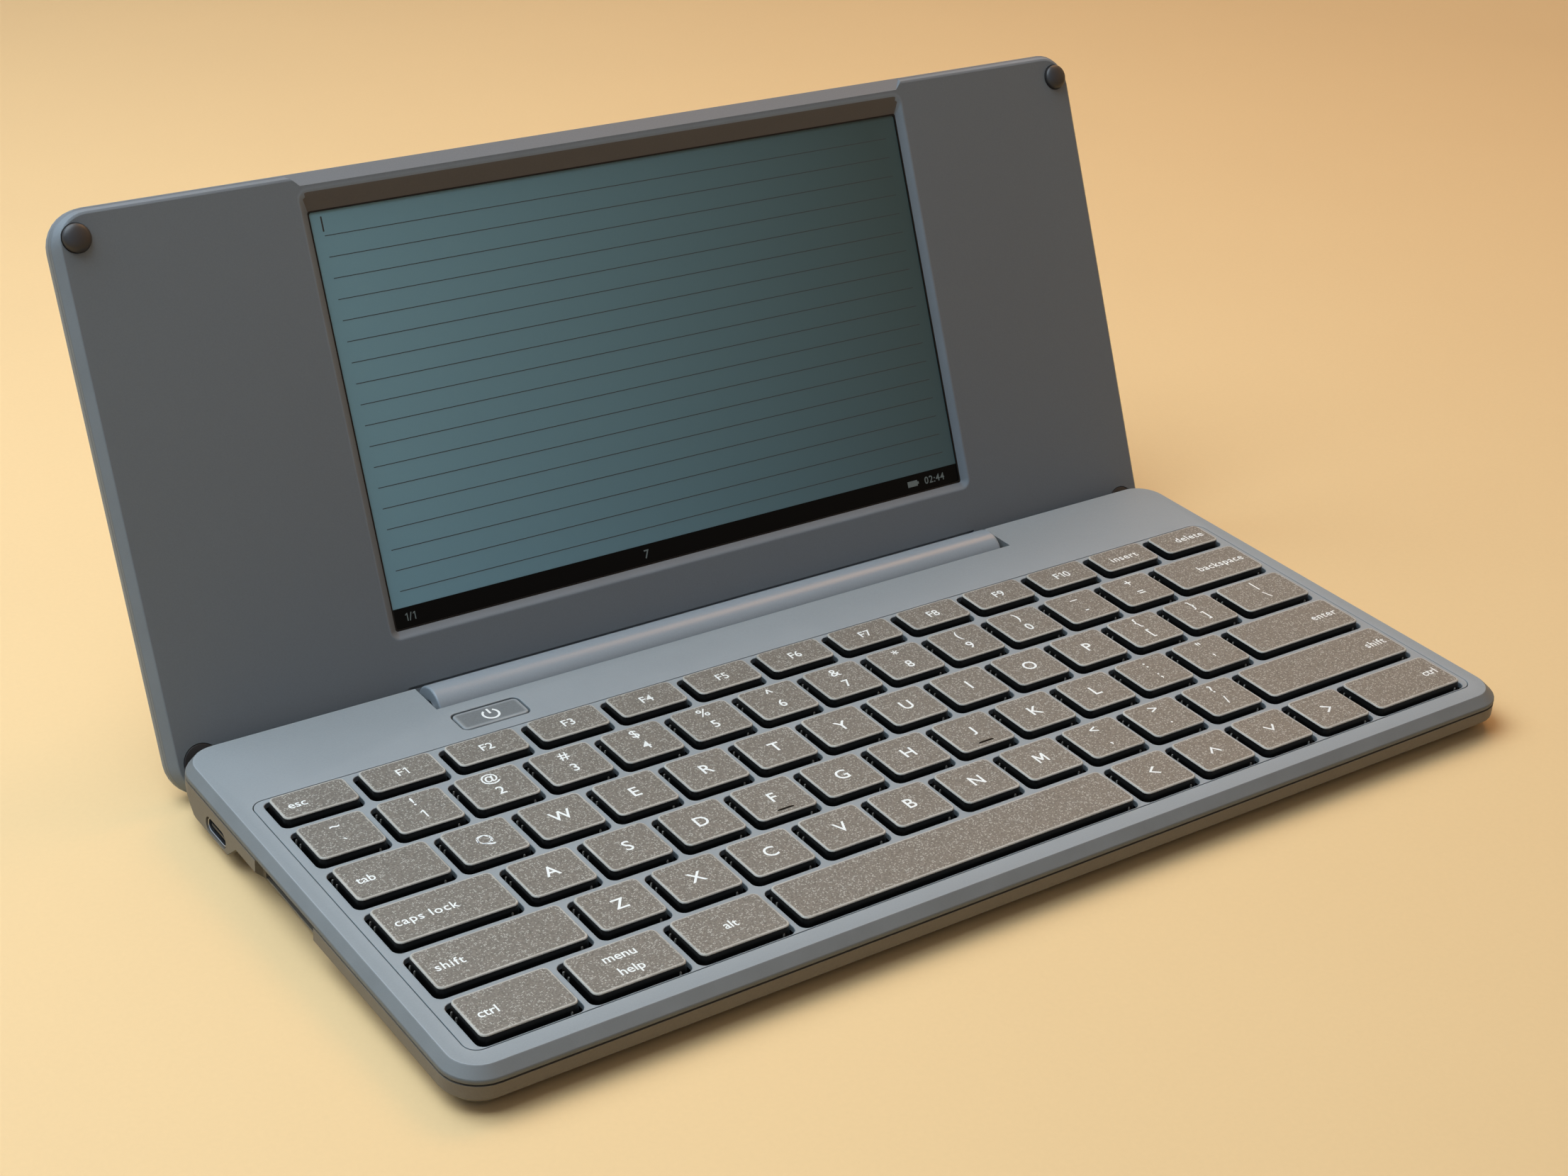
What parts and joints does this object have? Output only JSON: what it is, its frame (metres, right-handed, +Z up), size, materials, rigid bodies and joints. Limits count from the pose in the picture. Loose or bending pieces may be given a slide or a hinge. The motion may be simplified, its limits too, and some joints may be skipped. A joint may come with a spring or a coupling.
{
  "type": "electronic word processor",
  "caption": "Portable clamshell word processor: flat keyboard base with low keys and a hinged lid with a wide screen, joined by a long barrel hinge at the rear.",
  "frame": {"origin": "middle of the bounding box in plan, on the table that the opened machine stands on", "axes": "+X to the typist's right along the hinge, +Y from the typist towards the lid, +Z up"},
  "size_m": [0.263, 0.1706, 0.1132],
  "materials": {
    "deck": "fine matte slate-grey paint on plastic",
    "shell": "fine matte darker slate-grey plastic",
    "keys": "matte warm dark grey plastic with a fine grain",
    "barrel": "satin light grey",
    "screen": "anti-glare display glass, showing a grey-green page",
    "rubber": "soft matte black rubber",
    "steel": "plain sheet steel",
    "circuit": "green solder mask",
    "cell": "matte foil pouch",
    "membrane": "translucent switch film"
  },
  "bodies": {
    "base": {"base_top_shell": "deck", "base_bottom_shell": "shell", "key_switch_sheet": "membrane", "key_support_plate": "steel", "battery_pack": "cell", "main_board": "circuit", "usb_c_receptacle": "steel", "card_socket": "steel", "hinge_clip_left": "steel", "hinge_clip_right": "steel", "front_foot_strip": "rubber", "rear_foot_strip": "rubber"},
    "lid": {"lid_front_bezel": "deck", "lid_rear_cover": "shell", "lcd_panel": "screen", "lcd_tray": "steel", "hinge_barrel": "barrel", "lid_bumper_left": "rubber", "lid_bumper_right": "rubber", "lid_lower_cap_left": "rubber", "lid_lower_cap_right": "rubber"},
    "power_button_body": {"power_button": "deck"},
    "modifier_key_bar_body": {"modifier_key_bar": "keys"},
    "key_space_body": {"key_space": "keys"},
    "arrow_key_bar_body": {"arrow_key_bar": "keys"},
    "key_right_ctrl_body": {"key_right_ctrl": "keys"},
    "key_left_shift_body": {"key_left_shift": "keys"},
    "key_z_body": {"key_z": "keys"},
    "key_x_body": {"key_x": "keys"},
    "key_c_body": {"key_c": "keys"},
    "key_v_body": {"key_v": "keys"},
    "key_b_body": {"key_b": "keys"},
    "key_n_body": {"key_n": "keys"},
    "key_m_body": {"key_m": "keys"},
    "right_shift_key_bar_body": {"right_shift_key_bar": "keys"},
    "key_caps_lock_body": {"key_caps_lock": "keys"},
    "key_a_body": {"key_a": "keys"},
    "key_s_body": {"key_s": "keys"},
    "key_d_body": {"key_d": "keys"},
    "key_f_body": {"key_f": "keys"},
    "key_g_body": {"key_g": "keys"},
    "key_h_body": {"key_h": "keys"},
    "key_j_body": {"key_j": "keys"},
    "key_k_body": {"key_k": "keys"},
    "key_l_body": {"key_l": "keys"},
    "enter_key_bar_body": {"enter_key_bar": "keys"},
    "key_tab_body": {"key_tab": "keys"},
    "key_q_body": {"key_q": "keys"},
    "key_w_body": {"key_w": "keys"},
    "key_e_body": {"key_e": "keys"},
    "key_r_body": {"key_r": "keys"},
    "key_t_body": {"key_t": "keys"},
    "key_y_body": {"key_y": "keys"},
    "key_u_body": {"key_u": "keys"},
    "key_i_body": {"key_i": "keys"},
    "key_o_body": {"key_o": "keys"},
    "key_p_body": {"key_p": "keys"},
    "bracket_key_bar_body": {"bracket_key_bar": "keys"},
    "number_key_bar_body": {"number_key_bar": "keys"},
    "function_key_bar_body": {"function_key_bar": "keys"}
  },
  "joints": [
    {"name": "lid_hinge", "type": "hinge", "parent": "base", "child": "lid", "pos_m": [0, 0.03016, 0.00934], "axis": [1, 0, 0], "range_deg": [-5.6, 114.4]},
    {"name": "power_press", "type": "slide", "parent": "base", "child": "power_button_body", "axis": [0, 0.0345, -0.9994], "range_m": [0, 0.0005], "stiffness_N_per_m": 400, "springref_m": -0.0003},
    {"name": "modifier_key_bar_press", "type": "slide", "parent": "base", "child": "modifier_key_bar_body", "axis": [0, 0.0345, -0.9994], "range_m": [0, 0.0015], "stiffness_N_per_m": 900, "springref_m": -0.0005},
    {"name": "key_space_press", "type": "slide", "parent": "base", "child": "key_space_body", "axis": [0, 0.0345, -0.9994], "range_m": [0, 0.0015], "stiffness_N_per_m": 600, "springref_m": -0.0005},
    {"name": "arrow_key_bar_press", "type": "slide", "parent": "base", "child": "arrow_key_bar_body", "axis": [0, 0.0345, -0.9994], "range_m": [0, 0.0015], "stiffness_N_per_m": 1200, "springref_m": -0.0005},
    {"name": "key_right_ctrl_press", "type": "slide", "parent": "base", "child": "key_right_ctrl_body", "axis": [0, 0.0345, -0.9994], "range_m": [0, 0.0015], "stiffness_N_per_m": 300, "springref_m": -0.0005},
    {"name": "key_left_shift_press", "type": "slide", "parent": "base", "child": "key_left_shift_body", "axis": [0, 0.0345, -0.9994], "range_m": [0, 0.0015], "stiffness_N_per_m": 300, "springref_m": -0.0005},
    {"name": "key_z_press", "type": "slide", "parent": "base", "child": "key_z_body", "axis": [0, 0.0345, -0.9994], "range_m": [0, 0.0015], "stiffness_N_per_m": 300, "springref_m": -0.0005},
    {"name": "key_x_press", "type": "slide", "parent": "base", "child": "key_x_body", "axis": [0, 0.0345, -0.9994], "range_m": [0, 0.0015], "stiffness_N_per_m": 300, "springref_m": -0.0005},
    {"name": "key_c_press", "type": "slide", "parent": "base", "child": "key_c_body", "axis": [0, 0.0345, -0.9994], "range_m": [0, 0.0015], "stiffness_N_per_m": 300, "springref_m": -0.0005},
    {"name": "key_v_press", "type": "slide", "parent": "base", "child": "key_v_body", "axis": [0, 0.0345, -0.9994], "range_m": [0, 0.0015], "stiffness_N_per_m": 300, "springref_m": -0.0005},
    {"name": "key_b_press", "type": "slide", "parent": "base", "child": "key_b_body", "axis": [0, 0.0345, -0.9994], "range_m": [0, 0.0015], "stiffness_N_per_m": 300, "springref_m": -0.0005},
    {"name": "key_n_press", "type": "slide", "parent": "base", "child": "key_n_body", "axis": [0, 0.0345, -0.9994], "range_m": [0, 0.0015], "stiffness_N_per_m": 300, "springref_m": -0.0005},
    {"name": "key_m_press", "type": "slide", "parent": "base", "child": "key_m_body", "axis": [0, 0.0345, -0.9994], "range_m": [0, 0.0015], "stiffness_N_per_m": 300, "springref_m": -0.0005},
    {"name": "right_shift_key_bar_press", "type": "slide", "parent": "base", "child": "right_shift_key_bar_body", "axis": [0, 0.0345, -0.9994], "range_m": [0, 0.0015], "stiffness_N_per_m": 1200, "springref_m": -0.0005},
    {"name": "key_caps_lock_press", "type": "slide", "parent": "base", "child": "key_caps_lock_body", "axis": [0, 0.0345, -0.9994], "range_m": [0, 0.0015], "stiffness_N_per_m": 300, "springref_m": -0.0005},
    {"name": "key_a_press", "type": "slide", "parent": "base", "child": "key_a_body", "axis": [0, 0.0345, -0.9994], "range_m": [0, 0.0015], "stiffness_N_per_m": 300, "springref_m": -0.0005},
    {"name": "key_s_press", "type": "slide", "parent": "base", "child": "key_s_body", "axis": [0, 0.0345, -0.9994], "range_m": [0, 0.0015], "stiffness_N_per_m": 300, "springref_m": -0.0005},
    {"name": "key_d_press", "type": "slide", "parent": "base", "child": "key_d_body", "axis": [0, 0.0345, -0.9994], "range_m": [0, 0.0015], "stiffness_N_per_m": 300, "springref_m": -0.0005},
    {"name": "key_f_press", "type": "slide", "parent": "base", "child": "key_f_body", "axis": [0, 0.0345, -0.9994], "range_m": [0, 0.0015], "stiffness_N_per_m": 300, "springref_m": -0.0005},
    {"name": "key_g_press", "type": "slide", "parent": "base", "child": "key_g_body", "axis": [0, 0.0345, -0.9994], "range_m": [0, 0.0015], "stiffness_N_per_m": 300, "springref_m": -0.0005},
    {"name": "key_h_press", "type": "slide", "parent": "base", "child": "key_h_body", "axis": [0, 0.0345, -0.9994], "range_m": [0, 0.0015], "stiffness_N_per_m": 300, "springref_m": -0.0005},
    {"name": "key_j_press", "type": "slide", "parent": "base", "child": "key_j_body", "axis": [0, 0.0345, -0.9994], "range_m": [0, 0.0015], "stiffness_N_per_m": 300, "springref_m": -0.0005},
    {"name": "key_k_press", "type": "slide", "parent": "base", "child": "key_k_body", "axis": [0, 0.0345, -0.9994], "range_m": [0, 0.0015], "stiffness_N_per_m": 300, "springref_m": -0.0005},
    {"name": "key_l_press", "type": "slide", "parent": "base", "child": "key_l_body", "axis": [0, 0.0345, -0.9994], "range_m": [0, 0.0015], "stiffness_N_per_m": 300, "springref_m": -0.0005},
    {"name": "enter_key_bar_press", "type": "slide", "parent": "base", "child": "enter_key_bar_body", "axis": [0, 0.0345, -0.9994], "range_m": [0, 0.0015], "stiffness_N_per_m": 900, "springref_m": -0.0005},
    {"name": "key_tab_press", "type": "slide", "parent": "base", "child": "key_tab_body", "axis": [0, 0.0345, -0.9994], "range_m": [0, 0.0015], "stiffness_N_per_m": 300, "springref_m": -0.0005},
    {"name": "key_q_press", "type": "slide", "parent": "base", "child": "key_q_body", "axis": [0, 0.0345, -0.9994], "range_m": [0, 0.0015], "stiffness_N_per_m": 300, "springref_m": -0.0005},
    {"name": "key_w_press", "type": "slide", "parent": "base", "child": "key_w_body", "axis": [0, 0.0345, -0.9994], "range_m": [0, 0.0015], "stiffness_N_per_m": 300, "springref_m": -0.0005},
    {"name": "key_e_press", "type": "slide", "parent": "base", "child": "key_e_body", "axis": [0, 0.0345, -0.9994], "range_m": [0, 0.0015], "stiffness_N_per_m": 300, "springref_m": -0.0005},
    {"name": "key_r_press", "type": "slide", "parent": "base", "child": "key_r_body", "axis": [0, 0.0345, -0.9994], "range_m": [0, 0.0015], "stiffness_N_per_m": 300, "springref_m": -0.0005},
    {"name": "key_t_press", "type": "slide", "parent": "base", "child": "key_t_body", "axis": [0, 0.0345, -0.9994], "range_m": [0, 0.0015], "stiffness_N_per_m": 300, "springref_m": -0.0005},
    {"name": "key_y_press", "type": "slide", "parent": "base", "child": "key_y_body", "axis": [0, 0.0345, -0.9994], "range_m": [0, 0.0015], "stiffness_N_per_m": 300, "springref_m": -0.0005},
    {"name": "key_u_press", "type": "slide", "parent": "base", "child": "key_u_body", "axis": [0, 0.0345, -0.9994], "range_m": [0, 0.0015], "stiffness_N_per_m": 300, "springref_m": -0.0005},
    {"name": "key_i_press", "type": "slide", "parent": "base", "child": "key_i_body", "axis": [0, 0.0345, -0.9994], "range_m": [0, 0.0015], "stiffness_N_per_m": 300, "springref_m": -0.0005},
    {"name": "key_o_press", "type": "slide", "parent": "base", "child": "key_o_body", "axis": [0, 0.0345, -0.9994], "range_m": [0, 0.0015], "stiffness_N_per_m": 300, "springref_m": -0.0005},
    {"name": "key_p_press", "type": "slide", "parent": "base", "child": "key_p_body", "axis": [0, 0.0345, -0.9994], "range_m": [0, 0.0015], "stiffness_N_per_m": 300, "springref_m": -0.0005},
    {"name": "bracket_key_bar_press", "type": "slide", "parent": "base", "child": "bracket_key_bar_body", "axis": [0, 0.0345, -0.9994], "range_m": [0, 0.0015], "stiffness_N_per_m": 900, "springref_m": -0.0005},
    {"name": "number_key_bar_press", "type": "slide", "parent": "base", "child": "number_key_bar_body", "axis": [0, 0.0345, -0.9994], "range_m": [0, 0.0015], "stiffness_N_per_m": 4200, "springref_m": -0.0005},
    {"name": "function_key_bar_press", "type": "slide", "parent": "base", "child": "function_key_bar_body", "axis": [0, 0.0345, -0.9994], "range_m": [0, 0.0015], "stiffness_N_per_m": 3900, "springref_m": -0.0005}
  ]
}
